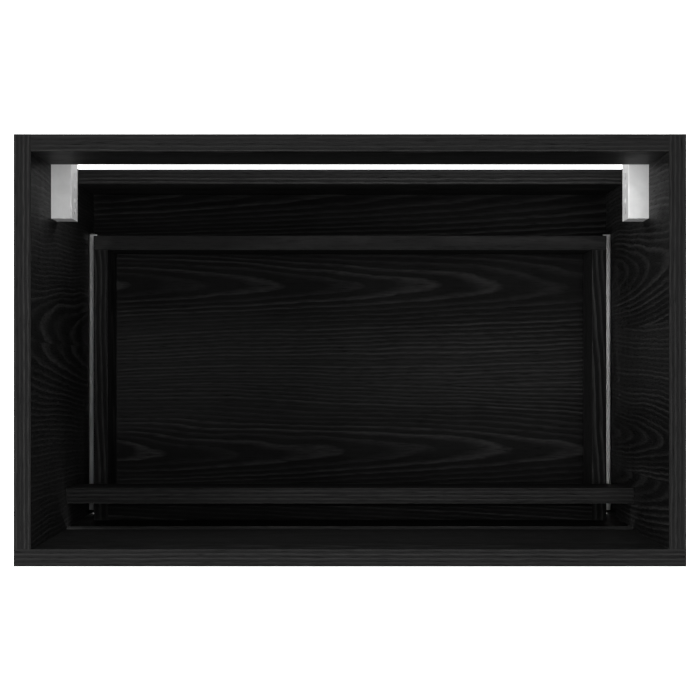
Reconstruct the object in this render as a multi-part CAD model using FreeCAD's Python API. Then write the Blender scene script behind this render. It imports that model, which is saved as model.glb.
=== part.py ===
import FreeCAD, Part
import os

# Wall-hung washbasin cabinet with one deep drawer, open at the top where the basin sits.
# All lengths are millimetres.  +X is to the right, +Y to the wall, +Z up.
# The origin is on the floor of the bounding box, midway across the width and the depth.

os.makedirs("parts", exist_ok=True)

# ---- overall sizes -------------------------------------------------------------------
cabinet_width = 700.0
cabinet_depth = 450.0
cabinet_height = 500.0
board = 18.0                 # every carcass board and both fronts
drawer_board = 18.0          # walls of the drawer box
band = 1.0                   # glued strip on a board's visible edge
band_round = 0.5             # rounding of a strip's two long edges

# ---- fronts and fixed boards -----------------------------------------------------------
upper_front_height = 250.0
finger_gap = 42.0            # open height between the two fronts
finger_depth = 30.6          # from a front's inner face to the traverse
traverse_rise = 5.0          # traverse top above the upper front's lower edge
traverse_height = 86.0
traverse_clear = 10.0        # least height between the traverse and the drawer box
rear_rail_height = 125.0
back_board_height = 138.0
drawer_front_gap = 2.0       # between the drawer front and the front edges behind it

# ---- drawer box and its runners --------------------------------------------------------
drawer_height = 95.0
drawer_clear_below = 3.0
drawer_round = 1.0           # rounding of the walls' upper edges
floor_thickness = 8.0
floor_rebate = 9.0           # width of the ledge that the drawer floor is glued into
runner_step = 50.0           # runners are sold in steps of this length
runner_free_behind = 60.0    # room for pipes behind the drawer
runner_width = 13.0          # space between drawer and side panel
runner_height = 45.0
runner_clear_below = 1.5
runner_inset = 9.0           # runner's front end behind the front's inner face
drawer_extra = 4.0           # drawer box is this much longer than its runners
moving_member_short = 8.0    # moving members end this much before the cabinet member
sheet = 1.2                  # steel of the runner members
bend = 2.0                   # outer bend radius of the cabinet member
ball_radius = 1.85
ball_play = 0.05
cage_sheet = 0.6
cage_width = 4.0
cage_end_room = 7.0          # room for a cage's ends, in all, along its way
balls_per_row = 8

# ---- hangers at the upper rear corners -------------------------------------------------
hanger_gap = 8.0             # hanger top below the rear rail
hanger_width = 23.0
hanger_depth = 77.0
hanger_height = 44.0
hanger_sheet = 1.5
hanger_end_room = 2.8        # room for the depth screw's head between the two front plates
dome_radius = 4.0            # pressed domes on the casing's inner face
dome_rise = 1.2
carriage_play = 0.3
carriage_length = 26.0
carriage_height = 35.2
carriage_start = 30.0        # carriage rear end, from the wall plane
hook_plate = 4.0
hook_block = 9.0
hook_block_length = 16.8
hook_block_height = 12.0
hook_travel = 4.5            # up or down
nose = 4.0                   # length of the hook's nose
hook_mouth = 6.5
hook_start = 4.0             # nose's rear face, from the wall plane

# ---- fasteners and fits ----------------------------------------------------------------
fit = 0.05                   # radial play of dowels and screws in their holes
thread_fit = 0.08            # radial play of the adjusting screws
dowel_radius = 4.0
dowel_length = 30.0
dowel_in_side = 11.5
end_play = 0.5               # free space past a dowel's or screw's end
cam_radius = 7.4
cam_reach = 24.0             # cam centre from the board's end
bolt_radius = 2.4
bolt_head_radius = 3.0
bolt_thread_radius = 2.5
bolt_in_side = 11.0
screw_radius = 2.0
screw_depth = 12.0
screw_head_radius = 3.5
screw_head = 2.0
driver_hole = 2.2
front_screw_sink = 6.0       # depth of the seat that these screws' heads sink to
front_screw_inset = 60.0     # outer front screws, from the drawer's side walls
bumper_radius = 4.5
bumper_length = 1.8

# ---- places that follow from the sizes above ---------------------------------------------
half_width = cabinet_width / 2
front = -cabinet_depth / 2
rear = cabinet_depth / 2
top = cabinet_height
inner = half_width - board               # side panel's inner face, from the middle
front_back = front + board               # inner face of both fronts
upper_bottom = top - upper_front_height  # lower edge of the upper front
lower_top = upper_bottom - finger_gap    # upper edge of the drawer front
side_edge = front_back + drawer_front_gap
traverse_front = front_back + finger_depth
traverse_top = upper_bottom + traverse_rise
rail_bottom = top - rear_rail_height
back_top = board + back_board_height

inner_depth = cabinet_depth - 2 * board
runner_length = runner_step * int((inner_depth - runner_free_behind) / runner_step)
drawer_outer = inner - runner_width
drawer_inner = drawer_outer - drawer_board
drawer_bottom = board + drawer_clear_below
drawer_top = drawer_bottom + drawer_height
traverse_bottom = max(traverse_top - traverse_height, drawer_top + traverse_clear)
drawer_rear = front_back + runner_length + drawer_extra
drawer_back_face = drawer_rear - drawer_board
sub_front_back = front_back + drawer_board
floor_top = drawer_bottom + floor_thickness
runner_front = front_back + runner_inset
runner_rear = runner_front + runner_length
moving_rear = runner_rear - moving_member_short
runner_middle = board + runner_clear_below + runner_height / 2
cage_middle = (runner_front + moving_rear) / 2
cage_length = runner_length / 2 - cage_end_room - moving_member_short

cam_length = board / 2 + bolt_head_radius    # the cam reaches just past its bolt's head
ball_gap = 2 * (ball_radius + ball_play)
outer_half = runner_height / 2
middle_half = outer_half - sheet - ball_gap
inner_half = middle_half - sheet - ball_gap

hanger_top = rail_bottom - hanger_gap
hanger_bottom = hanger_top - hanger_height
hanger_centre = (4.5 + hanger_width - hanger_sheet - 0.4) / 2
carriage_half = hanger_centre - 4.5
carriage_top = hanger_top - hanger_sheet - carriage_play
carriage_bottom = carriage_top - carriage_height
lip = 3.5                                # carriage floor that the height screw pulls on
channel_bottom = carriage_bottom + lip
channel_top = channel_bottom + hook_block_height + 2 * hook_travel + 1.0
block_bottom = channel_bottom + hook_travel + 0.5
block_top = block_bottom + hook_block_height
block_start = carriage_start + 3.1
depth_screw_height = (channel_top + carriage_top) / 2 - 0.3
height_screw_place = block_start + hook_block_length / 2
end_plate = hanger_depth - hanger_sheet - hanger_end_room  # front face of the plate behind the cover


# ---- plain helpers -----------------------------------------------------------------------
def save(name, solids):
    """Write one node; a list of solids becomes one group."""
    if isinstance(solids, list):
        solids = Part.makeCompound(solids)
    solids.exportStep("parts/" + name + ".step")


def block(x0, x1, y0, y1, z0, z1):
    """Box between two corners, given in either order along X."""
    low = min(x0, x1)
    corner = FreeCAD.Vector(low, y0, z0)
    return Part.makeBox(abs(x1 - x0), y1 - y0, z1 - z0, corner)


def rod_x(side, y, z, radius, near, far):
    """Round rod along X between two distances from the middle, on one side."""
    return Part.makeCylinder(radius, far - near, FreeCAD.Vector(side * near, y, z),
                             FreeCAD.Vector(side, 0, 0))


def rod_y(x, z, radius, y0, y1):
    """Round rod along Y."""
    return Part.makeCylinder(radius, y1 - y0, FreeCAD.Vector(x, y0, z), FreeCAD.Vector(0, 1, 0))


def rod_z(x, y, radius, z0, z1):
    """Round rod along Z."""
    return Part.makeCylinder(radius, z1 - z0, FreeCAD.Vector(x, y, z0), FreeCAD.Vector(0, 0, 1))


def round_edges(shape, test, radius):
    """Round every straight edge whose middle point passes the test."""
    chosen = []
    for edge in shape.Edges:
        middle = edge.CenterOfMass
        if edge.Length > 20 and test(middle):
            chosen.append(edge)
    return shape.makeFillet(radius, chosen)


def spread(low, high, shares):
    """Places at the given shares of the way from low to high."""
    places = []
    for share in shares:
        places.append(low + share * (high - low))
    return places


# ---- joints between the boards -------------------------------------------------------------
rail_mid = rear - board / 2
traverse_mid = traverse_front + board / 2
bottom_mid = board / 2

# places (y, z) of the dowels that run into the side panels
end_dowels = []
for y in spread(side_edge, rear, (0.1, 0.5, 0.9)):
    end_dowels.append((y, bottom_mid))
for z in spread(rail_bottom, top, (0.2, 0.8)):
    end_dowels.append((rail_mid, z))
for z in spread(board, back_top, (0.2, 0.8)):
    end_dowels.append((rail_mid, z))
for z in spread(traverse_bottom, traverse_top, (0.25, 0.75)):
    end_dowels.append((traverse_mid, z))

# places of the cam fittings; the cam enters from below or from the wall side
floor_cams = []
for y in spread(side_edge, rear, (0.3, 0.7)):
    floor_cams.append((y, bottom_mid))
wall_cams = [(rail_mid, (rail_bottom + top) / 2)]
wall_cams.append((rail_mid, (board + back_top) / 2))

front_dowel_heights = spread(upper_bottom, top, (0.12, 0.5, 0.88))
cam_place = inner - cam_reach


def end_dowel(side, y, z, play):
    """Dowel, or with play its hole, across a board's end and the side panel."""
    near = inner - (dowel_length - dowel_in_side)
    far = inner + dowel_in_side
    if play:
        near = near - end_play
        far = far + end_play
    return rod_x(side, y, z, dowel_radius + play, near, far)


def front_dowel(side, z, play):
    """Dowel, or with play its hole, from a side panel's front edge into the upper front."""
    y0 = front_back - dowel_in_side
    y1 = y0 + dowel_length
    if play:
        y0 = y0 - end_play
        y1 = y1 + end_play
    return rod_y(side * (half_width - board / 2), z, dowel_radius + play, y0, y1)


def cam_body(side, y, z, from_below, play):
    """Cam cylinder, or with play its pocket, entering from below or from the wall side."""
    if from_below:
        return rod_z(side * cam_place, y, cam_radius + play, 0, cam_length + play)
    return rod_y(side * cam_place, z, cam_radius + play, rear - cam_length - play, rear)


def cam_slot(side, y, z, from_below):
    """Screwdriver slot in a cam's visible face."""
    x = side * cam_place
    if from_below:
        return block(x - 5, x + 5, y - 0.7, y + 0.7, 0, 1.6)
    return block(x - 5, x + 5, rear - 1.6, rear, z - 0.7, z + 0.7)


def cam_bolt(side, y, z):
    """Bolt screwed into the side panel, its head inside the cam."""
    thread = rod_x(side, y, z, bolt_thread_radius, inner, inner + bolt_in_side)
    shank = rod_x(side, y, z, bolt_radius, cam_place - 1, inner)
    head = rod_x(side, y, z, bolt_head_radius, cam_place - 4, cam_place - 1)
    return thread.fuse([shank, head]).removeSplitter()


def cam_holes(side, y, z, from_below):
    """Everything that a cam fitting removes from its board."""
    pocket = cam_body(side, y, z, from_below, 0.1)
    way = rod_x(side, y, z, bolt_head_radius + 0.6, cam_place, inner)
    return [pocket, way]


def all_cams():
    """Side, place and direction of each cam fitting."""
    cams = []
    for side in (-1, 1):
        for y, z in floor_cams:
            cams.append((side, y, z, True))
        for y, z in wall_cams:
            cams.append((side, y, z, False))
    return cams


def board_holes():
    """Dowel and cam holes of the boards that end on the side panels."""
    holes = []
    for side in (-1, 1):
        for y, z in end_dowels:
            holes.append(end_dowel(side, y, z, fit))
    for side, y, z, from_below in all_cams():
        holes.extend(cam_holes(side, y, z, from_below))
    return holes


# ---- carcass boards --------------------------------------------------------------------------
def runner_screw_places():
    """Distances along Y of a runner's screws."""
    return spread(runner_front, runner_rear, (0.1, 0.45, 0.9))


def hanger_screw_places():
    """Depth from the wall plane and height of a hanger's fixing screws."""
    middle = (hanger_bottom + hanger_top) / 2
    return [(28.0, middle), (67.0, middle)]


def side_panel(side):
    """Side panel with a stepped front edge and its drilled holes."""
    panel = block(side * inner, side * half_width, front_back, rear, 0, top - band)
    step = block(side * (inner - 1), side * (half_width + 1), front_back - 1, side_edge, -1, upper_bottom)
    holes = [step]
    for y, z in end_dowels:
        holes.append(end_dowel(side, y, z, fit))
    for z in front_dowel_heights:
        holes.append(front_dowel(side, z, fit))
    for y, z in floor_cams + wall_cams:
        holes.append(rod_x(side, y, z, bolt_thread_radius + fit, inner, inner + bolt_in_side + end_play))
    for y in runner_screw_places():
        holes.append(rod_x(side, y, runner_middle, screw_radius + fit, inner, inner + screw_depth + end_play))
    for v, z in hanger_screw_places():
        holes.append(rod_x(side, rear - v, z, screw_radius + fit, inner, inner + screw_depth + end_play))
    return panel.cut(holes)


def edge_band(x0, x1, y0, y1, z, along_x):
    """Strip glued on an edge, its two long upper edges slightly rounded."""
    strip = block(x0, x1, y0, y1, z - band, z)

    def on_long_edge(point):
        if point.z < z - 0.01:
            return False
        if along_x:
            return abs(point.x - (x0 + x1) / 2) < 0.01
        return abs(point.y - (y0 + y1) / 2) < 0.01

    return round_edges(strip, on_long_edge, band_round)


def make_carcass():
    """The fixed boards, their edge strips and their joinery."""
    holes = board_holes()
    for side, word in ((-1, "left"), (1, "right")):
        save(word + "_side_panel", side_panel(side))
        save(word + "_side_top_band",
             edge_band(side * inner, side * half_width, front_back, rear, top, False))
    save("bottom_panel", block(-inner, inner, side_edge, rear, 0, board).cut(holes))
    save("rear_top_rail", block(-inner, inner, rear - board, rear, rail_bottom, top - band).cut(holes))
    save("rear_rail_top_band", edge_band(-inner, inner, rear - board, rear, top, True))
    save("back_board", block(-inner, inner, rear - board, rear, board, back_top - band).cut(holes))
    save("back_board_top_band", edge_band(-inner, inner, rear - board, rear, back_top, True))
    traverse = block(-inner, inner, traverse_front, traverse_front + board,
                     traverse_bottom, traverse_top - band)
    save("front_traverse", traverse.cut(holes))
    save("traverse_top_band",
         edge_band(-inner, inner, traverse_front, traverse_front + board, traverse_top, True))
    front_holes = []
    for side in (-1, 1):
        for z in front_dowel_heights:
            front_holes.append(front_dowel(side, z, fit))
    panel = block(-half_width, half_width, front, front_back, upper_bottom, top - band)
    save("upper_front_panel", panel.cut(front_holes))
    save("upper_front_top_band", edge_band(-half_width, half_width, front, front_back, top, True))


def make_joinery():
    """Dowels, cams and cam bolts of the carcass."""
    dowels = []
    for side in (-1, 1):
        for y, z in end_dowels:
            dowels.append(end_dowel(side, y, z, 0))
        for z in front_dowel_heights:
            dowels.append(front_dowel(side, z, 0))
    save("carcass_dowels", dowels)
    cams = []
    bolts = []
    for side, y, z, from_below in all_cams():
        passage = rod_x(side, y, z, bolt_head_radius + 0.3, cam_place - 4.4, cam_place + cam_radius + 1)
        slot = cam_slot(side, y, z, from_below)
        cams.append(cam_body(side, y, z, from_below, 0).cut([passage, slot]))
        bolts.append(cam_bolt(side, y, z))
    save("cam_housings", cams)
    save("cam_bolts", bolts)


def make_bumpers():
    """Soft discs on the side panels' front edges, behind the drawer front."""
    discs = []
    for side in (-1, 1):
        for z in (22.0, lower_top - 22.0):
            discs.append(rod_y(side * (half_width - board / 2), z, bumper_radius,
                               side_edge - bumper_length, side_edge))
    save("drawer_front_bumpers", discs)


# ---- screws ------------------------------------------------------------------------------------
def screw_x(side, y, z, seat, outward):
    """Pan-head screw along X; seat is the distance of its head's underside from the middle."""
    if outward:
        head = rod_x(side, y, z, screw_head_radius, seat - screw_head, seat)
        shank = rod_x(side, y, z, screw_radius, seat, inner + screw_depth)
        recess = rod_x(side, y, z, 1.3, seat - screw_head - 1, seat - screw_head + 1.2)
    else:
        head = rod_x(side, y, z, screw_head_radius, seat, seat + screw_head)
        shank = rod_x(side, y, z, screw_radius, drawer_outer - screw_depth, seat)
        recess = rod_x(side, y, z, 1.3, seat + screw_head - 1.2, seat + screw_head + 1)
    return head.fuse(shank).removeSplitter().cut(recess)


# ---- runners -------------------------------------------------------------------------------------
def channel(side, web, tip, half, y0, y1):
    """Rolled channel lying along Y: web and tip are distances from the side panel."""
    step = sheet if tip > web else -sheet
    x_web = side * (inner - web)
    x_tip = side * (inner - tip)
    x_hollow = side * (inner - web - step)
    x_past = side * (inner - tip - step)
    solid = block(x_web, x_tip, y0, y1, runner_middle - half, runner_middle + half)
    hollow = block(x_hollow, x_past, y0 - 1, y1 + 1,
                   runner_middle - half + sheet, runner_middle + half - sheet)
    return solid.cut(hollow)


def cabinet_member(side):
    """Outer channel, screwed to the side panel, with rounded bends."""
    part = channel(side, 0, 10.5, outer_half, runner_front, runner_rear)

    def on_bend(point):
        at_web = abs(abs(point.x) - inner) < 0.01
        at_height = abs(abs(point.z - runner_middle) - outer_half) < 0.01
        return at_web and at_height

    part = round_edges(part, on_bend, bend)
    holes = []
    for y in runner_screw_places():
        holes.append(rod_x(side, y, runner_middle, screw_radius + fit, inner - sheet - 1, inner + 1))
    return part.cut(holes)


def middle_member(side):
    """Channel that travels half as far as the drawer."""
    return channel(side, 4.0, 10.9, middle_half, runner_front, moving_rear)


def drawer_member(side):
    """Inner channel, screwed to the drawer's side wall."""
    part = channel(side, runner_width, 6.2, inner_half, runner_front, moving_rear)
    holes = []
    for y in runner_screw_places():
        holes.append(rod_x(side, y, runner_middle, screw_radius + fit,
                           drawer_outer - 1, drawer_outer + sheet + 1))
    return part.cut(holes)


def ball_places(height):
    """Places (y, z) of one cage's balls, in an upper and a lower row."""
    pitch = cage_length / balls_per_row
    places = []
    for sign in (-1, 1):
        for index in range(balls_per_row):
            y = cage_middle - cage_length / 2 + (index + 0.5) * pitch
            places.append((y, runner_middle + sign * height))
    return places


def cage(side, distance, height):
    """Upper and lower strip of a ball cage, with a round hole for each ball."""
    x = side * (inner - distance)
    strips = []
    for sign in (-1, 1):
        z = runner_middle + sign * height
        strip = block(x - cage_width / 2, x + cage_width / 2,
                      cage_middle - cage_length / 2, cage_middle + cage_length / 2,
                      z - cage_sheet / 2, z + cage_sheet / 2)
        holes = []
        for ball_y, ball_z in ball_places(height):
            if abs(ball_z - z) < 1:
                holes.append(rod_z(x, ball_y, ball_radius + ball_play, z - 2, z + 2))
        strips.append(strip.cut(holes))
    return strips


def balls(side, distance, height):
    """The balls of one cage."""
    shapes = []
    for y, z in ball_places(height):
        shapes.append(Part.makeSphere(ball_radius, FreeCAD.Vector(side * (inner - distance), y, z)))
    return shapes


def make_runners():
    """Both drawer runners with cages, balls and screws."""
    outer_row = (outer_half - sheet + middle_half) / 2
    inner_row = (middle_half - sheet + inner_half) / 2
    cabinet_screws = []
    drawer_screws = []
    for side, word in ((-1, "left"), (1, "right")):
        save(word + "_runner_cabinet_member", cabinet_member(side))
        save(word + "_runner_middle_member", middle_member(side))
        save(word + "_runner_drawer_member", drawer_member(side))
        save(word + "_runner_outer_ball_cage", cage(side, 7.4, outer_row))
        save(word + "_runner_outer_balls", balls(side, 7.4, outer_row))
        save(word + "_runner_inner_ball_cage", cage(side, 8.7, inner_row))
        save(word + "_runner_inner_balls", balls(side, 8.7, inner_row))
        for y in runner_screw_places():
            cabinet_screws.append(screw_x(side, y, runner_middle, inner - sheet, True))
            drawer_screws.append(screw_x(side, y, runner_middle, drawer_outer + sheet, False))
    save("runner_cabinet_screws", cabinet_screws)
    save("runner_drawer_screws", drawer_screws)


# ---- drawer ----------------------------------------------------------------------------------------
wall_dowel_heights = spread(floor_top, drawer_top, (0.25, 0.75))
front_screw_x = drawer_inner - front_screw_inset


def floor_board(play):
    """Drawer floor, or with play the ledge it is glued into."""
    edge = drawer_inner + floor_rebate + play
    return block(-edge, edge, front_back + drawer_board - floor_rebate - play,
                 drawer_back_face + floor_rebate + play, drawer_bottom - play, floor_top)


def back_dowel(side, z, play):
    """Dowel, or with play its hole, between a drawer side and the drawer back."""
    y1 = drawer_back_face + dowel_in_side
    y0 = y1 - dowel_length
    if play:
        y0 = y0 - end_play
        y1 = y1 + end_play
    return rod_y(side * (drawer_outer - drawer_board / 2), z, dowel_radius + play, y0, y1)


def sub_front_dowel(side, z, play):
    """Dowel, or with play its hole, between the sub-front's end and a drawer side."""
    far = drawer_inner + dowel_in_side
    near = far - dowel_length
    if play:
        near = near - end_play
        far = far + end_play
    return rod_x(side, front_back + drawer_board / 2, z, dowel_radius + play, near, far)


def front_screw(x, z):
    """Screw from inside the drawer through the sub-front into the drawer front, its head sunk in."""
    seat = sub_front_back - front_screw_sink
    shank = rod_y(x, z, screw_radius, front_back - screw_depth, seat)
    head = rod_y(x, z, screw_head_radius, seat, seat + screw_head)
    recess = rod_y(x, z, 1.3, seat + 0.8, seat + screw_head + 1)
    return shank.fuse(head).removeSplitter().cut(recess)


def front_screw_hole(x, z):
    """Stepped hole for one of those screws."""
    seat = sub_front_back - front_screw_sink
    shank = rod_y(x, z, screw_radius + fit, front_back - screw_depth - end_play, seat)
    sink = rod_y(x, z, screw_head_radius + 0.3, seat, sub_front_back + 1)
    return shank.fuse(sink)


def round_top(wall):
    """Round the upper long edges of a drawer wall."""
    box = wall.BoundBox
    along_x = box.XLength > box.YLength

    def on_long_edge(point):
        if point.z < drawer_top - 0.01:
            return False
        if along_x:
            return abs(point.x - box.Center.x) < 0.01
        return abs(point.y - box.Center.y) < 0.01

    return round_edges(wall, on_long_edge, drawer_round)


def make_drawer():
    """Drawer front, box and the fasteners that join them."""
    ledge = floor_board(0)
    dowels = []
    side_holes = {-1: [ledge], 1: [ledge]}
    back_holes = [ledge]
    sub_holes = [ledge]
    for side in (-1, 1):
        for z in wall_dowel_heights:
            dowels.append(back_dowel(side, z, 0))
            dowels.append(sub_front_dowel(side, z, 0))
            side_holes[side].append(back_dowel(side, z, fit))
            side_holes[side].append(sub_front_dowel(side, z, fit))
            back_holes.append(back_dowel(side, z, fit))
            sub_holes.append(sub_front_dowel(side, z, fit))
        for y in runner_screw_places():
            side_holes[side].append(rod_x(side, y, runner_middle, screw_radius + fit,
                                          drawer_outer - screw_depth - end_play, drawer_outer))
    for side, word in ((-1, "left"), (1, "right")):
        wall = block(side * drawer_inner, side * drawer_outer, front_back, drawer_back_face,
                     drawer_bottom, drawer_top)
        save("drawer_" + word + "_side", round_top(wall).cut(side_holes[side]))
    back = block(-drawer_outer, drawer_outer, drawer_back_face, drawer_rear, drawer_bottom, drawer_top)
    save("drawer_back", round_top(back).cut(back_holes))
    screws = []
    front_holes = []
    for x in (-front_screw_x, 0, front_screw_x):
        for z in wall_dowel_heights:
            screws.append(front_screw(x, z))
            front_holes.append(front_screw_hole(x, z))
    sub = block(-drawer_inner, drawer_inner, front_back, sub_front_back, drawer_bottom, drawer_top)
    save("drawer_sub_front", round_top(sub).cut(sub_holes + front_holes))
    save("drawer_floor", floor_board(0))
    panel = block(-half_width, half_width, front, front_back, 0, lower_top - band)
    save("lower_drawer_front", panel.cut(front_holes))
    save("lower_front_top_band", edge_band(-half_width, half_width, front, front_back, lower_top, True))
    save("drawer_dowels", dowels)
    save("drawer_front_screws", screws)


# ---- hangers ------------------------------------------------------------------------------------------
def hanger_block(side, u0, u1, v0, v1, z0, z1):
    """Box placed by its distance from the side panel (u) and from the wall plane (v)."""
    return block(side * (inner - u0), side * (inner - u1), rear - v1, rear - v0, z0, z1)


def pressed_dome(side, v, z):
    """Low dome pressed out of the casing's inner face."""
    ball_size = (dome_radius ** 2 + dome_rise ** 2) / (2 * dome_rise)
    face = inner - hanger_width
    centre = FreeCAD.Vector(side * (face - dome_rise + ball_size), rear - v, z)
    cap = rod_x(side, rear - v, z, dome_radius + 1, face - dome_rise - 1, face + hanger_sheet / 2)
    return Part.makeSphere(ball_size, centre).common(cap)


def hanger_casing(side):
    """Folded steel casing, open below and to the wall."""
    shell = hanger_block(side, 0, hanger_width, 0, hanger_depth, hanger_bottom, hanger_top)

    def on_upper_edge(point):
        at_top = abs(point.z - hanger_top) < 0.01
        return at_top and abs(abs(point.x) - (inner - hanger_width)) < 0.01

    shell = round_edges(shell, on_upper_edge, 1.2)
    far = hanger_width - hanger_sheet
    ceiling = hanger_top - hanger_sheet
    tools = [
        hanger_block(side, hanger_sheet, far, -1, end_plate - hanger_sheet, hanger_bottom - 1, ceiling),
        hanger_block(side, hanger_sheet, far, end_plate, hanger_depth - hanger_sheet, hanger_bottom - 1, ceiling),
        rod_y(side * (inner - hanger_centre), depth_screw_height, screw_radius + thread_fit,
              rear - end_plate - 1, rear - end_plate + hanger_sheet + 1),
        rod_y(side * (inner - hanger_centre), depth_screw_height, driver_hole,
              rear - hanger_depth - 1, rear - hanger_depth + hanger_sheet + 1),
    ]
    for v, z in hanger_screw_places():
        tools.append(rod_x(side, rear - v, z, screw_radius + fit, inner - hanger_sheet - 1, inner + 1))
        tools.append(rod_x(side, rear - v, z, screw_head_radius + 0.7,
                           inner - hanger_width - 1, inner - far + 1))
    domes = []
    for v in (41.0, 57.0):
        domes.append(pressed_dome(side, v, (hanger_bottom + hanger_top) / 2))
    return shell.cut(tools).fuse(domes)


def hanger_carriage(side):
    """Block that the depth screw moves; the hook's block slides up and down in its channel."""
    body = hanger_block(side, hanger_centre - carriage_half, hanger_centre + carriage_half,
                        carriage_start, carriage_start + carriage_length, carriage_bottom, carriage_top)
    wide = hook_block / 2 + 0.2
    narrow = hook_plate / 2 + 0.3
    x = side * (inner - hanger_centre)
    channel_end = block_start + hook_block_length + 0.3
    tools = [
        hanger_block(side, hanger_centre - wide, hanger_centre + wide,
                     block_start - 0.3, channel_end, channel_bottom, channel_top),
        hanger_block(side, hanger_centre - narrow, hanger_centre + narrow,
                     carriage_start - 1, block_start, channel_bottom, channel_top),
        rod_z(x, rear - height_screw_place, screw_radius + thread_fit, carriage_bottom - 1, channel_bottom + 1),
        rod_y(x, depth_screw_height, screw_radius + thread_fit,
              rear - carriage_start - carriage_length - 1, rear - carriage_start + 1),
    ]
    return body.cut(tools)


def hanger_hook(side):
    """Hook with a threaded block at its inner end and a downward nose at the wall."""
    half_block = hook_block / 2
    half_plate = hook_plate / 2
    threaded = hanger_block(side, hanger_centre - half_block, hanger_centre + half_block,
                            block_start, block_start + hook_block_length, block_bottom, block_top)
    low = hanger_centre - half_plate
    high = hanger_centre + half_plate
    neck = hanger_block(side, low, high, carriage_start - 0.5, block_start, block_bottom, block_top)
    shoulder = hanger_block(side, low, high, hook_start + nose + hook_mouth, carriage_start - 0.5,
                            block_bottom - 3, block_top)
    arm = hanger_block(side, low, high, hook_start, hook_start + nose + hook_mouth,
                       block_top - 7.5, block_top)
    tip = hanger_block(side, low, high, hook_start, hook_start + nose, block_bottom - 7, block_top)
    bore = rod_z(side * (inner - hanger_centre), rear - height_screw_place,
                 screw_radius + thread_fit, block_bottom - 1, block_top + 1)
    return threaded.fuse([neck, shoulder, arm, tip]).removeSplitter().cut(bore)


def depth_screw(side):
    """Screw that draws the carriage towards its head, which bears on the casing's front plate."""
    x = side * (inner - hanger_centre)
    y_plate = rear - end_plate
    shank = rod_y(x, depth_screw_height, screw_radius, y_plate - 0.1, rear - 18)
    head = rod_y(x, depth_screw_height, 3.3, y_plate - 2.6, y_plate - 0.1)
    recess = rod_y(x, depth_screw_height, 1.3, y_plate - 3.6, y_plate - 1.2)
    return shank.fuse(head).removeSplitter().cut(recess)


def height_screw(side):
    """Screw that draws the hook's block down; its head bears under the carriage's lip."""
    x = side * (inner - hanger_centre)
    y = rear - height_screw_place
    shank = rod_z(x, y, screw_radius, carriage_bottom - 0.1, channel_top - 0.7)
    head = rod_z(x, y, 3.3, carriage_bottom - 2.6, carriage_bottom - 0.1)
    recess = rod_z(x, y, 1.3, carriage_bottom - 3.6, carriage_bottom - 1.3)
    return shank.fuse(head).removeSplitter().cut(recess)


def make_hangers():
    """Both hangers and their fixing screws."""
    screws = []
    for side, word in ((-1, "left"), (1, "right")):
        save(word + "_hanger_casing", hanger_casing(side))
        save(word + "_hanger_carriage", hanger_carriage(side))
        save(word + "_hanger_hook", hanger_hook(side))
        save(word + "_hanger_depth_screw", depth_screw(side))
        save(word + "_hanger_height_screw", height_screw(side))
        for v, z in hanger_screw_places():
            screws.append(screw_x(side, rear - v, z, inner - hanger_sheet, True))
    save("hanger_fixing_screws", screws)


make_carcass()
make_joinery()
make_bumpers()
make_runners()
make_drawer()
make_hangers()
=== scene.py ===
# %% [markdown]
# # A wall-hung washbasin cabinet in black-stained oak
# The cabinet is an open box of oak boards with one deep drawer on ball runners and two steel hangers.
# Its shapes are already made as solids, so this lesson gives them their finishes: brushed and stained
# oak, zinc-plated steel, polished balls, beech dowels and soft bumpers. Every place is read from the
# model's own boxes, in metres.

# %% Load the model
import bpy
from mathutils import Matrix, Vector


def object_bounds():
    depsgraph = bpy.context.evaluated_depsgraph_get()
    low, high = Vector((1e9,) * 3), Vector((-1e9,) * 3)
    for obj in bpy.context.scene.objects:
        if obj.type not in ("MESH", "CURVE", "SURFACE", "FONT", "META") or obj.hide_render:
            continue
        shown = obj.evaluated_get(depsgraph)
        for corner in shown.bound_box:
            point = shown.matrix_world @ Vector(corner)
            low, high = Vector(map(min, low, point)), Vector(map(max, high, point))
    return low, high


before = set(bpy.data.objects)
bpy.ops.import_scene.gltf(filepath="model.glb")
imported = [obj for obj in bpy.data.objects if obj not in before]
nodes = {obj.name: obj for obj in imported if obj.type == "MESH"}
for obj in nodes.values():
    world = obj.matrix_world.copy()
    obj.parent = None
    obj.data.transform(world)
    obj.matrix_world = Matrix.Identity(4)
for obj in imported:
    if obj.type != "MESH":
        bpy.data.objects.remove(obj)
cad_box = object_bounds()
print("pieces:", len(nodes), "box:", cad_box)

# %% [markdown]
# ## Helpers for shader trees
# A finish is a tree of shader nodes. Three small helpers keep the recipes readable: one adds a node
# and sets its values, one joins two sockets, and one makes an empty node group with named inputs and
# outputs. A group is built once and placed in every material that needs the effect, so wood and steel
# age in the same way.

# %% Node helpers
def add_node(tree, kind, values=None, **settings):
    """Adds a shader node; settings are its own switches, values go on its input sockets."""
    made = tree.nodes.new("ShaderNode" + kind)
    for name, setting in settings.items():
        setattr(made, name, setting)
    for name, value in (values or {}).items():
        made.inputs[name].default_value = value
    return made


def join(tree, source, target):
    """Links an output socket to an input socket."""
    tree.links.new(source, target)


def new_group(name, inputs, outputs):
    """An empty shader group; inputs are (name, socket kind, start value)."""
    group = bpy.data.node_groups.new(name, "ShaderNodeTree")
    for label, kind, start in inputs:
        socket = group.interface.new_socket(label, in_out="INPUT", socket_type="NodeSocket" + kind)
        if start is not None:
            socket.default_value = start
    for label, kind in outputs:
        group.interface.new_socket(label, in_out="OUTPUT", socket_type="NodeSocket" + kind)
    return group, group.nodes.new("NodeGroupInput"), group.nodes.new("NodeGroupOutput")


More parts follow.
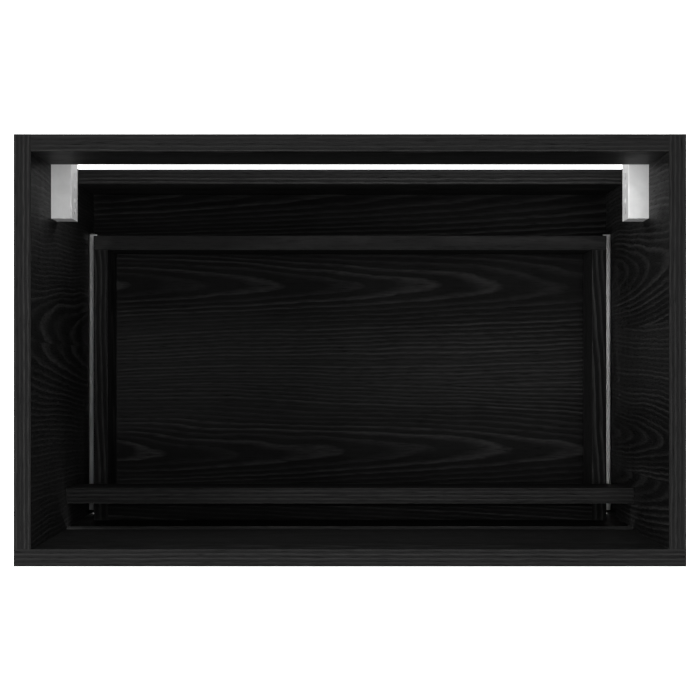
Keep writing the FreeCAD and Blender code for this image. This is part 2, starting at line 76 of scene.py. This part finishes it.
def maths(tree, operation, first, second=None):
    """A Math node; first and second are sockets or numbers."""
    made = add_node(tree, "Math", operation=operation)
    for index, value in enumerate((first, second)):
        if value is None:
            continue
        if isinstance(value, (int, float)):
            made.inputs[index].default_value = value
        else:
            join(tree, value, made.inputs[index])
    return made.outputs[0]


def ramp(tree, value, low, high, out_low=0.0, out_high=1.0):
    """Maps value from low..high to out_low..out_high and holds it there beyond the ends."""
    made = add_node(tree, "MapRange", clamp=True)
    join(tree, value, made.inputs["Value"])
    ends = (("From Min", low), ("From Max", high), ("To Min", out_low), ("To Max", out_high))
    for label, setting in ends:
        if isinstance(setting, (int, float)):
            made.inputs[label].default_value = setting
        else:
            join(tree, setting, made.inputs[label])
    return made.outputs["Result"]


def use_group(tree, group, values=None):
    """Places a group in a material."""
    made = tree.nodes.new("ShaderNodeGroup")
    made.node_tree = group
    for name, value in (values or {}).items():
        made.inputs[name].default_value = value
    return made


print("helpers ready")

# %% [markdown]
# ## The grain of oak
# A tree's growth rings are nested tubes. A board is a flat cut through them, so its figure is the set
# of places at equal distance from the tree's middle: straight close lines far from it, and long
# arches near it, as the tree tapers. A wave or a stretched noise could give lines as well, but they
# would be too even, or would not arch. The group works this distance out. Veneer is laid in leaves
# side by side, so each leaf gets a middle, a depth and a tone of its own. It takes a place in "board
# axes": X across the grain, Y along it, Z through the board.

# %% Oak grain group
def make_oak_grain():
    group, start, end = new_group(
        "oak grain",
        [("Place", "Vector", None), ("Seed", "Float", 0.0), ("Line gap", "Float", 0.0048),
         ("Leaf width", "Float", 0.17), ("Leaf start", "Float", 0.0), ("Swing", "Float", 0.5),
         ("Wander", "Float", 0.030), ("Taper", "Float", 0.05), ("Pore strength", "Float", 1.0)],
        [("Line", "Float"), ("Pores", "Float"), ("Tone", "Float"), ("Height", "Float")])

    def noise_of(across, along, detail, roughness=0.5):
        """A noise with its own number of patches to the metre across and along the grain."""
        mapping = add_node(group, "Mapping", {"Scale": (across, along, across)})
        join(group, start.outputs["Place"], mapping.inputs["Vector"])
        made = add_node(group, "TexNoise", {"Scale": 1.0, "Detail": detail, "Roughness": roughness},
                        noise_dimensions="4D")
        join(group, mapping.outputs["Vector"], made.inputs["Vector"])
        join(group, start.outputs["Seed"], made.inputs["W"])
        return made.outputs["Fac"]

    def random_of(value, seed):
        """A fixed random number for each whole value."""
        made = add_node(group, "TexWhiteNoise", noise_dimensions="3D")
        pair = add_node(group, "CombineXYZ", {"Y": seed})
        join(group, value, pair.inputs["X"])
        join(group, start.outputs["Seed"], pair.inputs["Z"])
        join(group, pair.outputs["Vector"], made.inputs["Vector"])
        return made.outputs["Value"]

    def about(value, middle, amount):
        """Moves value's middle to zero and scales it."""
        return maths(group, "MULTIPLY", maths(group, "SUBTRACT", value, middle), amount)

    place = add_node(group, "SeparateXYZ")
    join(group, start.outputs["Place"], place.inputs["Vector"])
    # the leaf and the place across it
    from_start = maths(group, "SUBTRACT", place.outputs["X"], start.outputs["Leaf start"])
    in_leaves = maths(group, "DIVIDE", from_start, start.outputs["Leaf width"])
    leaf = maths(group, "FLOOR", in_leaves)
    across = maths(group, "MULTIPLY", maths(group, "SUBTRACT", maths(group, "FRACT", in_leaves), 0.5),
                   start.outputs["Leaf width"])
    # sideways distance to the tree's middle, which swings from leaf to leaf and wanders along the grain
    turn = maths(group, "ADD", maths(group, "MULTIPLY", leaf, 2.4), start.outputs["Seed"])
    swing = maths(group, "SINE", turn)
    middle = maths(group, "MULTIPLY", maths(group, "MULTIPLY", swing, start.outputs["Swing"]),
                   start.outputs["Leaf width"])
    wander = maths(group, "MULTIPLY", maths(group, "SUBTRACT", noise_of(9.0, 2.6, 2.0), 0.5),
                   start.outputs["Wander"])
    sideways = maths(group, "ADD", maths(group, "ADD", across, middle), wander)
    # depth of the cut below the tree's middle; it changes along the grain with the taper
    depth = maths(group, "ADD", maths(group, "MULTIPLY", random_of(leaf, 5.3), 0.030),
                  maths(group, "MULTIPLY", place.outputs["Y"], start.outputs["Taper"]))
    depth = maths(group, "ADD", maths(group, "ADD", depth, place.outputs["Z"]), 0.022)
    depth = maths(group, "ADD", depth, maths(group, "MULTIPLY", wander, 0.5))
    squares = maths(group, "ADD", maths(group, "MULTIPLY", sideways, sideways),
                    maths(group, "MULTIPLY", depth, depth))
    radius = maths(group, "SQRT", squares)
    steep = ramp(group, maths(group, "DIVIDE", maths(group, "ABSOLUTE", sideways), radius), 0.80, 0.97)
    fine_wobble = about(noise_of(70.0, 26.0, 2.0, 0.6), 0.5, 0.0030)
    radius = maths(group, "ADD", radius, fine_wobble)
    rings = maths(group, "DIVIDE", radius, start.outputs["Line gap"])
    # each ring is a pale line of late wood with a strength of its own
    phase = maths(group, "FRACT", rings)
    strength = ramp(group, random_of(maths(group, "FLOOR", rings), 8.1), 0.0, 1.0, 0.30, 1.0)
    line = maths(group, "MULTIPLY", ramp(group, phase, 0.40, 0.78), ramp(group, phase, 0.86, 1.0, 1.0, 0.0))
    broken = ramp(group, noise_of(520.0, 60.0, 2.0, 0.6), 0.30, 0.58, 0.25, 1.0)
    line = maths(group, "MULTIPLY", maths(group, "MULTIPLY", line, strength), broken)
    # open pores, short and thin, most of them between the lines
    pores = ramp(group, noise_of(1500.0, 60.0, 2.0, 0.55), 0.55, 0.70)
    pores = maths(group, "MULTIPLY", pores, ramp(group, line, 0.0, 0.6, 1.0, 0.35))
    pores = maths(group, "MULTIPLY", pores, start.outputs["Pore strength"])
    # fine fibres, a cloudy stain, and a paler tone where the rings are cut steeply
    tone = maths(group, "ADD", maths(group, "MULTIPLY", noise_of(380.0, 9.0, 3.0, 0.6), 0.35),
                 maths(group, "MULTIPLY", noise_of(9.0, 3.0, 2.0), 0.25))
    tone = maths(group, "ADD", tone, maths(group, "MULTIPLY", steep, 0.30))
    tone = maths(group, "ADD", tone, maths(group, "MULTIPLY", random_of(leaf, 3.9), 0.10))
    height = maths(group, "SUBTRACT", maths(group, "MULTIPLY", line, 0.6),
                   maths(group, "MULTIPLY", pores, 0.7))
    for label, value in (("Line", line), ("Pores", pores), ("Tone", tone), ("Height", height)):
        join(group, value, end.inputs[label])
    return group


oak_grain = make_oak_grain()
print("oak grain group:", len(oak_grain.nodes), "nodes")

# %% [markdown]
# ## Worn edges and handling marks
# Edges are where a finish is thinnest. The bevel node gives the normal that a slightly rounded edge
# would have; the more it differs from the real normal, the nearer the point is to an edge. A noise
# breaks the line up, because wear is never even. Handling marks are a cloudy mask that makes some
# places a little shinier than others.

# %% Wear groups
def make_worn_edges():
    group, start, end = new_group("worn edges", [("Size", "Float", 0.001), ("Break up", "Float", 160.0)],
                                  [("Mask", "Float")])
    soft = add_node(group, "Bevel", samples=4)
    join(group, start.outputs["Size"], soft.inputs["Radius"])
    sharp = add_node(group, "NewGeometry")
    same = add_node(group, "VectorMath", operation="DOT_PRODUCT")
    join(group, soft.outputs["Normal"], same.inputs[0])
    join(group, sharp.outputs["Normal"], same.inputs[1])
    edge = ramp(group, same.outputs["Value"], 0.995, 0.93)
    where = add_node(group, "TexCoord")
    noise = add_node(group, "TexNoise", {"Detail": 3.0, "Roughness": 0.6})
    join(group, where.outputs["Object"], noise.inputs["Vector"])
    join(group, start.outputs["Break up"], noise.inputs["Scale"])
    broken = ramp(group, noise.outputs["Fac"], 0.35, 0.65, 0.25, 1.0)
    join(group, maths(group, "MULTIPLY", edge, broken), end.inputs["Mask"])
    return group


def make_handling():
    group, start, end = new_group("handling marks", [("Size", "Float", 9.0)], [("Mask", "Float")])
    where = add_node(group, "TexCoord")
    noise = add_node(group, "TexNoise", {"Detail": 4.0, "Roughness": 0.62, "Distortion": 0.4})
    join(group, where.outputs["Object"], noise.inputs["Vector"])
    join(group, start.outputs["Size"], noise.inputs["Scale"])
    join(group, ramp(group, noise.outputs["Fac"], 0.35, 0.68), end.inputs["Mask"])
    return group


worn_edges = make_worn_edges()
handling = make_handling()
print("wear groups:", worn_edges.name, "and", handling.name)

# %% [markdown]
# ## Black-stained, brushed oak
# The boards are veneered in oak, brushed along the grain so that the soft early wood sinks, stained
# near-black and given a matt lacquer. The late wood takes less stain and stands proud, so the rings
# read a little lighter. Each board gets a material of its own: the same recipe, turned to the board's
# own grain and started from another seed, so no two boards repeat. The gloss is low, because a black
# board shows every reflection.

# %% Oak recipe
AXES = {"X": 0, "Y": 1, "Z": 2}


def start_material(name):
    """A material with a Principled shader joined to its output."""
    material = bpy.data.materials.new(name)
    material.use_nodes = True
    tree = material.node_tree
    tree.nodes.clear()
    out = add_node(tree, "OutputMaterial")
    shader = add_node(tree, "BsdfPrincipled")
    join(tree, shader.outputs["BSDF"], out.inputs["Surface"])
    return material, tree, shader


COLOUR_A, COLOUR_B, COLOUR_OUT = 6, 7, 2     # the Mix node's colour sockets, by place


def blend_colour(tree, mask, first, second):
    """Colour that goes from first to second as mask goes from 0 to 1."""
    mix = add_node(tree, "Mix", data_type="RGBA")
    join(tree, mask, mix.inputs["Factor"])
    for index, value in ((COLOUR_A, first), (COLOUR_B, second)):
        if isinstance(value, tuple):
            mix.inputs[index].default_value = value
        else:
            join(tree, value, mix.inputs[index])
    return mix.outputs[COLOUR_OUT]


def grey(level, warm=0.0):
    """An almost neutral colour; warm lifts red and lowers blue a little."""
    return (level * (1 + warm), level, level * (1 - warm), 1.0)


def board_axes(tree, along, across, middle):
    """Place on the board as (across, along, through), counted from the board's own middle."""
    where = add_node(tree, "TexCoord")
    centred = add_node(tree, "VectorMath", operation="SUBTRACT")
    join(tree, where.outputs["Object"], centred.inputs[0])
    centred.inputs[1].default_value = middle
    parts = add_node(tree, "SeparateXYZ")
    join(tree, centred.outputs["Vector"], parts.inputs["Vector"])
    through = ({"X", "Y", "Z"} - {along, across}).pop()
    whole = add_node(tree, "CombineXYZ")
    for target, axis in (("X", across), ("Y", along), ("Z", through)):
        join(tree, parts.outputs[axis], whole.inputs[target])
    return whole.outputs["Vector"]


def middle_of(node):
    """Middle of a piece's box in its own coordinates."""
    corners = [tuple(corner) for corner in nodes[node].bound_box]
    return tuple((min(values) + max(values)) / 2 for values in zip(*corners))


def oak(node, along, across, figure, dark=0.0020, light=0.0230, roughness=0.55):
    """Stained oak for one board; figure holds settings of the grain group."""
    material, tree, shader = start_material("oak " + node)
    grain = use_group(tree, oak_grain, figure)
    join(tree, board_axes(tree, along, across, middle_of(node)), grain.inputs["Place"])
    edges = use_group(tree, worn_edges, {"Size": 0.0012, "Break up": 120.0})
    marks = use_group(tree, handling, {"Size": 11.0})
    wood = blend_colour(tree, ramp(tree, grain.outputs["Tone"], 0.30, 0.70), grey(dark),
                        grey(dark + (light - dark) * 0.30))
    wood = blend_colour(tree, grain.outputs["Line"], wood, grey(light, 0.01))
    wood = blend_colour(tree, grain.outputs["Pores"], wood, grey(dark * 0.6))
    wood = blend_colour(tree, maths(tree, "MULTIPLY", edges.outputs["Mask"], 0.30), wood, grey(light, 0.03))
    join(tree, wood, shader.inputs["Base Color"])
    sheen = ramp(tree, marks.outputs["Mask"], 0.0, 1.0, roughness + 0.05, roughness - 0.05)
    sheen = maths(tree, "ADD", sheen, maths(tree, "MULTIPLY", grain.outputs["Pores"], 0.20))
    sheen = maths(tree, "SUBTRACT", sheen, maths(tree, "MULTIPLY", grain.outputs["Line"], 0.06))
    join(tree, sheen, shader.inputs["Roughness"])
    bump = add_node(tree, "Bump", {"Strength": 0.5, "Distance": 0.00025})
    join(tree, grain.outputs["Height"], bump.inputs["Height"])
    join(tree, bump.outputs["Normal"], shader.inputs["Normal"])
    shader.inputs["IOR"].default_value = 1.46
    shader.inputs["Specular IOR Level"].default_value = 0.08
    return material


def dress(node, material):
    """Gives a CAD piece one finish in all its material slots."""
    piece = nodes[node]
    if not piece.data.materials:
        piece.data.materials.append(material)
    for index in range(len(piece.data.materials)):
        piece.data.materials[index] = material


# %% [markdown]
# ## Which way the grain runs
# A joiner runs the grain along a board's length, upright on side panels, and from side to side on
# fronts, floors and rails. The glued edge strips follow their edge.

# %% Dress the boards and the edge strips
BOARDS = (
    ("left_side_panel", "Z", "Y"), ("right_side_panel", "Z", "Y"),
    ("bottom_panel", "X", "Y"), ("rear_top_rail", "X", "Z"), ("back_board", "X", "Z"),
    ("front_traverse", "X", "Z"), ("upper_front_panel", "X", "Z"), ("lower_drawer_front", "X", "Z"),
    ("drawer_left_side", "Y", "Z"), ("drawer_right_side", "Y", "Z"), ("drawer_back", "X", "Z"),
    ("drawer_sub_front", "X", "Z"), ("drawer_floor", "X", "Y"),
)
STRIPS = (
    ("left_side_top_band", "Y", "X"), ("right_side_top_band", "Y", "X"), ("rear_rail_top_band", "X", "Y"),
    ("back_board_top_band", "X", "Y"), ("traverse_top_band", "X", "Y"), ("upper_front_top_band", "X", "Y"),
    ("lower_front_top_band", "X", "Y"),
)
# one arch at the front and one at the rear of the drawer floor, with straight grain between them
FLOOR_FIGURE = {"Seed": -0.74, "Leaf start": -0.009, "Swing": 0.37}
# a strip is sliced far from the tree's middle, so its lines run straight
STRIP_FIGURE = {"Line gap": 0.0045, "Leaf width": 0.8, "Leaf start": -0.60, "Swing": 0.05, "Wander": 0.006,
                "Taper": 0.004}
# edge strips deeper in the box get paler rings than the rim strips: painted light that makes up for the
# shade down there
DEEP_STRIPS_WITH_PAINTED_LIGHT = ("back_board_top_band", "traverse_top_band", "lower_front_top_band")
STRIP_DARK = 0.0012
RIM_STRIP_LIGHT = 0.0190
DEEP_STRIP_PAINTED_LIGHT = 0.0300
for number, (node, along, across) in enumerate(BOARDS):
    figure = {"Seed": 1.0 + 1.9 * number, "Leaf start": 0.021 * number}
    if node == "drawer_floor":
        figure = FLOOR_FIGURE
    dress(node, oak(node, along, across, figure))
for number, (node, along, across) in enumerate(STRIPS):
    figure = dict(STRIP_FIGURE, Seed=40.0 + 1.3 * number)
    # painted light: the deep strips get a paler ring colour than the rim strips of the same oak
    light = DEEP_STRIP_PAINTED_LIGHT if node in DEEP_STRIPS_WITH_PAINTED_LIGHT else RIM_STRIP_LIGHT
    dress(node, oak(node, along, across, figure, dark=STRIP_DARK, light=light))
print("oak boards:", len(BOARDS), "edge strips:", len(STRIPS))

# %% [markdown]
# ## Zinc-plated steel
# Hangers, runners and screws are steel sheet or wire with a thin zinc coat. It is a metal with a
# satin gloss: rolled sheet keeps faint lines along its length, and the zinc has a fine cloudy grain.
# The lines are a noise stretched along one axis that drives roughness and a very shallow bump. On the
# hangers the zinc has a chalky bloom, which hides part of the metal, so "bloom" lowers the metallic
# value by up to its own amount.

# %% Steel recipe
def steel(name, along, colour, roughness, line_depth=0.00001, cloud=0.12, bloom=0.0):
    material, tree, shader = start_material(name)
    where = add_node(tree, "TexCoord")
    scale = [900.0, 900.0, 900.0]
    scale[AXES[along]] = 14.0
    mapping = add_node(tree, "Mapping", {"Scale": tuple(scale)})
    join(tree, where.outputs["Object"], mapping.inputs["Vector"])
    lines = add_node(tree, "TexNoise", {"Scale": 1.0, "Detail": 3.0, "Roughness": 0.6})
    join(tree, mapping.outputs["Vector"], lines.inputs["Vector"])
    marks = use_group(tree, handling, {"Size": 55.0})
    edges = use_group(tree, worn_edges, {"Size": 0.0006, "Break up": 400.0})
    shade = blend_colour(tree, marks.outputs["Mask"], grey(colour * (1 - cloud)), grey(colour))
    shade = blend_colour(tree, edges.outputs["Mask"], shade, grey(min(1.0, colour * 1.25)))
    join(tree, shade, shader.inputs["Base Color"])
    if bloom > 0:
        metal = ramp(tree, marks.outputs["Mask"], 0.0, 1.0, 1.0 - bloom, 1.0 - 0.7 * bloom)
        join(tree, metal, shader.inputs["Metallic"])
    else:
        shader.inputs["Metallic"].default_value = 1.0
    rough = ramp(tree, lines.outputs["Fac"], 0.3, 0.7, roughness - 0.06, roughness + 0.08)
    join(tree, rough, shader.inputs["Roughness"])
    bump = add_node(tree, "Bump", {"Strength": 0.4, "Distance": line_depth})
    join(tree, lines.outputs["Fac"], bump.inputs["Height"])
    join(tree, bump.outputs["Normal"], shader.inputs["Normal"])
    return material


hanger_steel = steel("zinc-plated hanger sheet", "Y", 0.68, 0.50, bloom=0.7)
runner_steel = steel("zinc-plated runner sheet", "Y", 0.62, 0.40, bloom=0.2)
screw_steel = steel("zinc-plated screws", "Z", 0.60, 0.32)
ball_steel = steel("polished balls", "X", 0.78, 0.10, line_depth=0.000001, cloud=0.03)
for side in ("left", "right"):
    for part in ("casing", "carriage", "hook"):
        dress(side + "_hanger_" + part, hanger_steel)
    for part in ("depth_screw", "height_screw"):
        dress(side + "_hanger_" + part, screw_steel)
    for part in ("cabinet_member", "middle_member", "drawer_member", "outer_ball_cage", "inner_ball_cage"):
        dress(side + "_runner_" + part, runner_steel)
    for part in ("outer_balls", "inner_balls"):
        dress(side + "_runner_" + part, ball_steel)
for node in ("hanger_fixing_screws", "runner_cabinet_screws", "runner_drawer_screws", "drawer_front_screws",
             "cam_housings", "cam_bolts"):
    dress(node, screw_steel)
print("steel finishes:", hanger_steel.name, runner_steel.name, screw_steel.name, ball_steel.name)

# %% [markdown]
# ## Dowels and bumpers
# The dowels are turned beech, pale and plain, with fine flecks. The bumpers are soft dark rubber:
# hardly any gloss, with a faint dusty bloom.

# %% Beech and rubber
def beech(name):
    material, tree, shader = start_material(name)
    grain = use_group(tree, oak_grain, {"Line gap": 0.002, "Pore strength": 0.35})
    join(tree, board_axes(tree, "X", "Y", (0.0, 0.0, 0.0)), grain.inputs["Place"])
    wood = blend_colour(tree, grain.outputs["Tone"], (0.50, 0.33, 0.18, 1), (0.66, 0.48, 0.30, 1))
    wood = blend_colour(tree, grain.outputs["Pores"], wood, (0.32, 0.19, 0.10, 1))
    join(tree, wood, shader.inputs["Base Color"])
    join(tree, ramp(tree, grain.outputs["Tone"], 0.2, 0.8, 0.62, 0.5), shader.inputs["Roughness"])
    return material


def rubber(name):
    material, tree, shader = start_material(name)
    marks = use_group(tree, handling, {"Size": 300.0})
    join(tree, blend_colour(tree, marks.outputs["Mask"], grey(0.020), grey(0.036)),
         shader.inputs["Base Color"])
    join(tree, ramp(tree, marks.outputs["Mask"], 0.0, 1.0, 0.62, 0.78), shader.inputs["Roughness"])
    bump = add_node(tree, "Bump", {"Strength": 0.3, "Distance": 0.0001})
    join(tree, marks.outputs["Mask"], bump.inputs["Height"])
    join(tree, bump.outputs["Normal"], shader.inputs["Normal"])
    return material


dowel_wood = beech("turned beech")
for node in ("carcass_dowels", "drawer_dowels"):
    dress(node, dowel_wood)
dress("drawer_front_bumpers", rubber("soft bumper rubber"))
print("beech and rubber done")

# %% [markdown]
# ## Floor, light and camera
# The cabinet stands on a plain pale floor. The floor glows a little, as a light table does, so it
# stays white in the open rear of the cabinet too. A narrow soft box hangs overhead, a strong one to
# the left lights the inner face of the right side panel, and three weaker ones at the right, the wall
# side and the front fill the shadows. The surround is pale to the camera but gives hardly any light,
# because steep walls would mirror it.

# %% Floor and light
low, high = cad_box
FLOOR_SIZE = 12.0
FLOOR_CELLS = 24
FLOOR_LEVEL = low[2] - 0.001     # just under the cabinet
bpy.ops.mesh.primitive_grid_add(x_subdivisions=FLOOR_CELLS, y_subdivisions=FLOOR_CELLS, size=FLOOR_SIZE,
                                location=(0, 0, FLOOR_LEVEL))
floor = bpy.context.object
floor.name = "studio_floor"
floor_material, tree, shader = start_material("pale studio floor")
floor_marks = use_group(tree, handling, {"Size": 0.8})
join(tree, blend_colour(tree, floor_marks.outputs["Mask"], grey(0.80), grey(0.82)),
     shader.inputs["Base Color"])
shader.inputs["Roughness"].default_value = 0.9
shader.inputs["Emission Color"].default_value = (1, 1, 1, 1)
shader.inputs["Emission Strength"].default_value = 0.95
floor.data.materials.append(floor_material)


def soft_box(name, place, aim, width, depth, power):
    """Rectangular area light that points at aim."""
    data = bpy.data.lights.new(name, "AREA")
    data.shape = "RECTANGLE"
    data.size = width
    data.size_y = depth
    data.energy = power
    light = bpy.data.objects.new(name, data)
    bpy.context.collection.objects.link(light)
    light.location = place
    direction = Vector(aim) - Vector(place)
    light.rotation_euler = direction.to_track_quat("-Z", "Y").to_euler()


rim = (0.0, 0.0, high[2])
SOFT_BOXES = (       # name, place over the rim's middle, width, depth, watts
    ("overhead_box", (0.45, 0.05, 2.6), 1.9, 0.5, 25.0),
    ("left_box", (-2.2, -0.1, 1.9), 1.4, 1.4, 84.0),
    ("right_box", (2.2, 0.0, 1.9), 1.4, 1.4, 18.0),
    ("wall_side_box", (0.2, 2.2, 1.9), 1.6, 1.0, 26.0),
    ("front_box", (0.0, -1.9, 2.2), 1.6, 1.0, 42.0),
)
for name, (x, y, above), width, depth, power in SOFT_BOXES:
    soft_box(name, (x, y, high[2] + above), rim, width, depth, power)
WORLD_LIGHT, WORLD_SEEN = 0.025, 1.0
world = bpy.data.worlds.new("pale surround")
bpy.context.scene.world = world
world.use_nodes = True
background = world.node_tree.nodes["Background"]
background.inputs["Color"].default_value = (1, 1, 1, 1)
seen_directly = add_node(world.node_tree, "LightPath").outputs["Is Camera Ray"]
join(world.node_tree, ramp(world.node_tree, seen_directly, 0.0, 1.0, WORLD_LIGHT, WORLD_SEEN),
     background.inputs["Strength"])
bpy.context.scene.view_settings.view_transform = "Standard"
print("floor at", round(FLOOR_LEVEL, 4), "soft boxes:", len(SOFT_BOXES))

# %% [markdown]
# The camera looks straight down into the open cabinet from nearly two metres above the rim, a little
# in front of the middle. A long lens keeps the walls steep. The small upward shift brings the rim
# back to the middle of the picture without tilting the camera.

# %% Camera
CAMERA_HEIGHT = 1.965        # above the rim
CAMERA_FORWARD = 0.022       # in front of the middle
SENSOR = 36.0
VIEW_WIDTH = 0.7282          # width of the picture at the rim
camera_data = bpy.data.cameras.new("overhead camera")
camera_data.sensor_width = SENSOR
camera_data.lens = SENSOR * CAMERA_HEIGHT / VIEW_WIDTH
camera_data.shift_y = 0.0307
camera_data.clip_end = 50.0
camera = bpy.data.objects.new("overhead_camera", camera_data)
bpy.context.collection.objects.link(camera)
camera.location = (0.0, -CAMERA_FORWARD, high[2] + CAMERA_HEIGHT)
camera.rotation_euler = (0.0, 0.0, 0.0)
bpy.context.scene.camera = camera
print("lens", round(camera_data.lens, 1), "mm")
